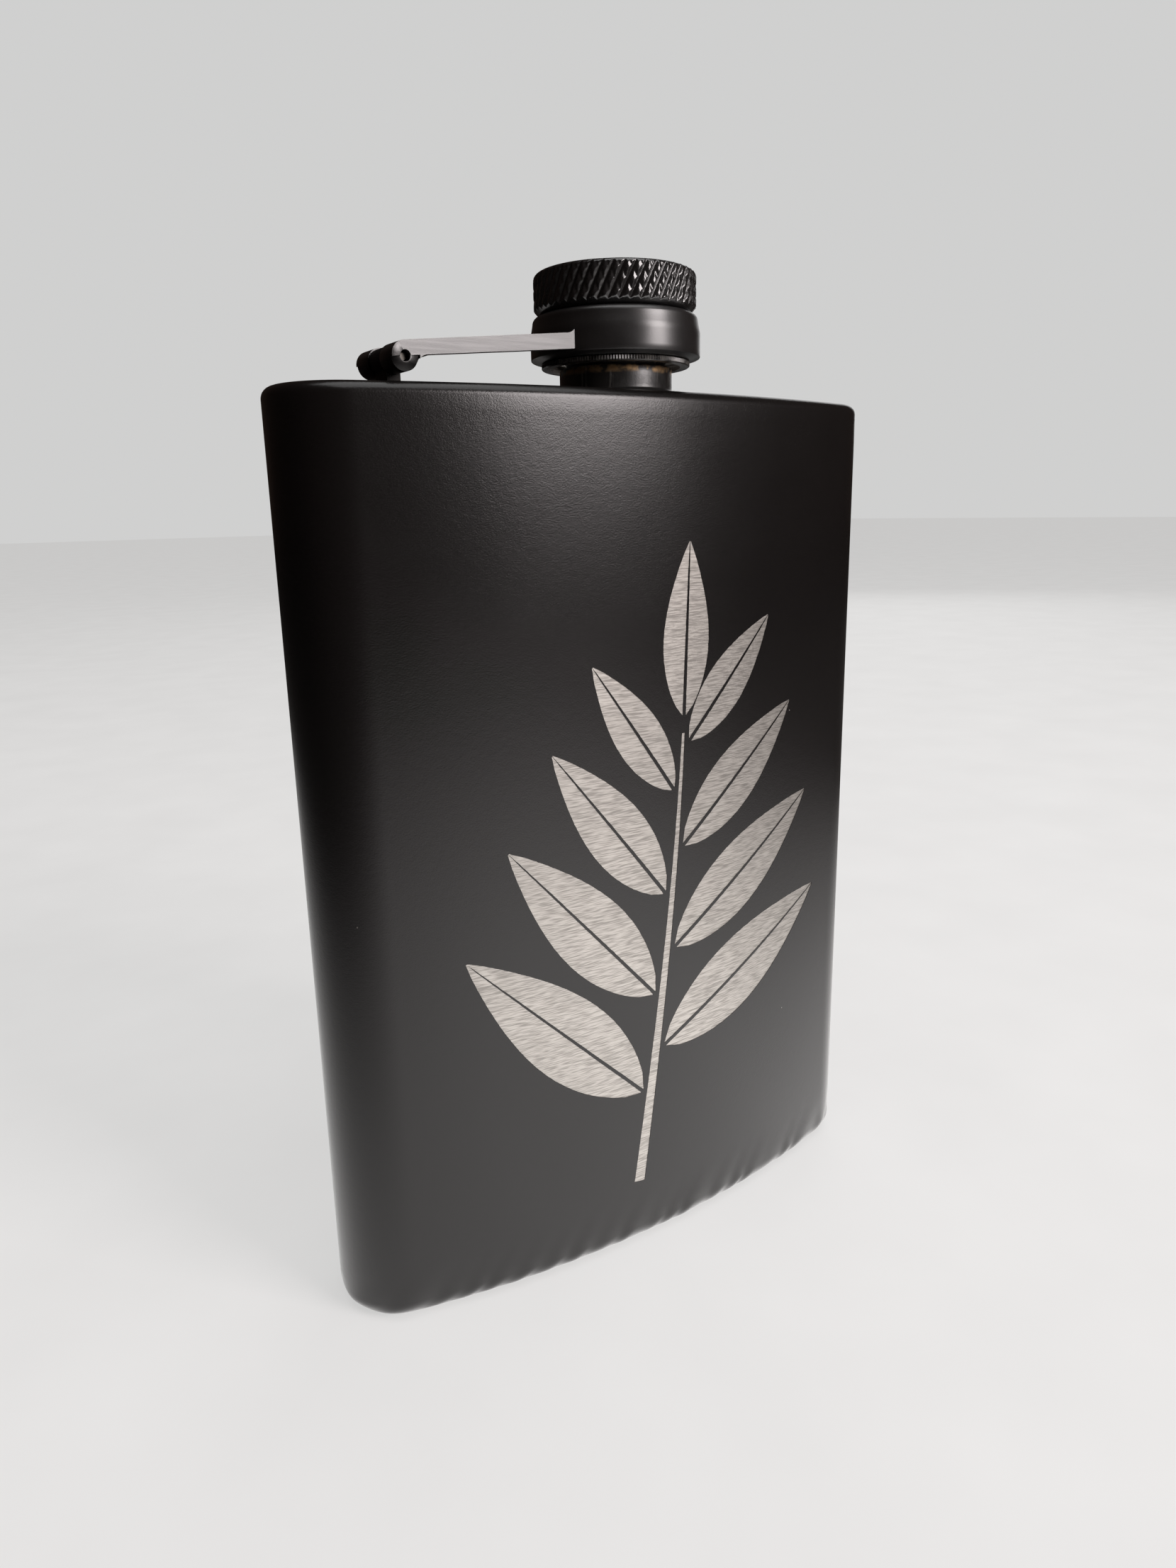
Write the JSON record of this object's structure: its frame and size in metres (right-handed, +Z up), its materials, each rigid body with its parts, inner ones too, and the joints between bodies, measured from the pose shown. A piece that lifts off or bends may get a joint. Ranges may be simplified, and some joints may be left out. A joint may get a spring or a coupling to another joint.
{
  "type": "hip flask",
  "caption": "Curved steel hip flask with a knurled captive screw cap on a hinged arm.",
  "frame": {"origin": "centre of the bottom plate's outer face, under the neck's axis", "axes": "+Z up along the neck; the bulging front faces -Y and the hollow back +Y; the hinge is on the -X side"},
  "size_m": [0.094, 0.0254, 0.1418],
  "materials": {
    "black_coat": "fine-textured satin powder coat",
    "neck_coat": "satin coat worn by the cap's thread",
    "cap_coat": "smooth satin coat over turned steel",
    "arm_coat": "satin coat over ground steel",
    "sleeve_coat": "thin coat over turned steel, rubbed on the flange and bare in the thread",
    "bare_steel": "turned, or marked by a laser",
    "gasket_silicone": "matte food-grade silicone"
  },
  "bodies": {
    "flask": {"body_wall": "black_coat", "top_plate": "black_coat", "bottom_plate": "black_coat", "neck": "neck_coat", "hinge_base": "black_coat", "hinge_pin": "bare_steel"},
    "arm": {"hinge_arm": "arm_coat", "cap_collar": "cap_coat"},
    "cap": {"cap_head": "cap_coat", "thread_sleeve": "sleeve_coat", "cap_gasket": "gasket_silicone"}
  },
  "joints": [
    {"name": "arm_hinge", "type": "hinge", "parent": "flask", "child": "arm", "pos_m": [-0.03325, 0, 0.1293], "axis": [0, -1, 0], "range_deg": [0, 170]},
    {"name": "cap_turn", "type": "hinge", "parent": "arm", "child": "cap", "pos_m": [0, 0, 0.1366], "axis": [0, 0, 1], "continuous": true}
  ]
}
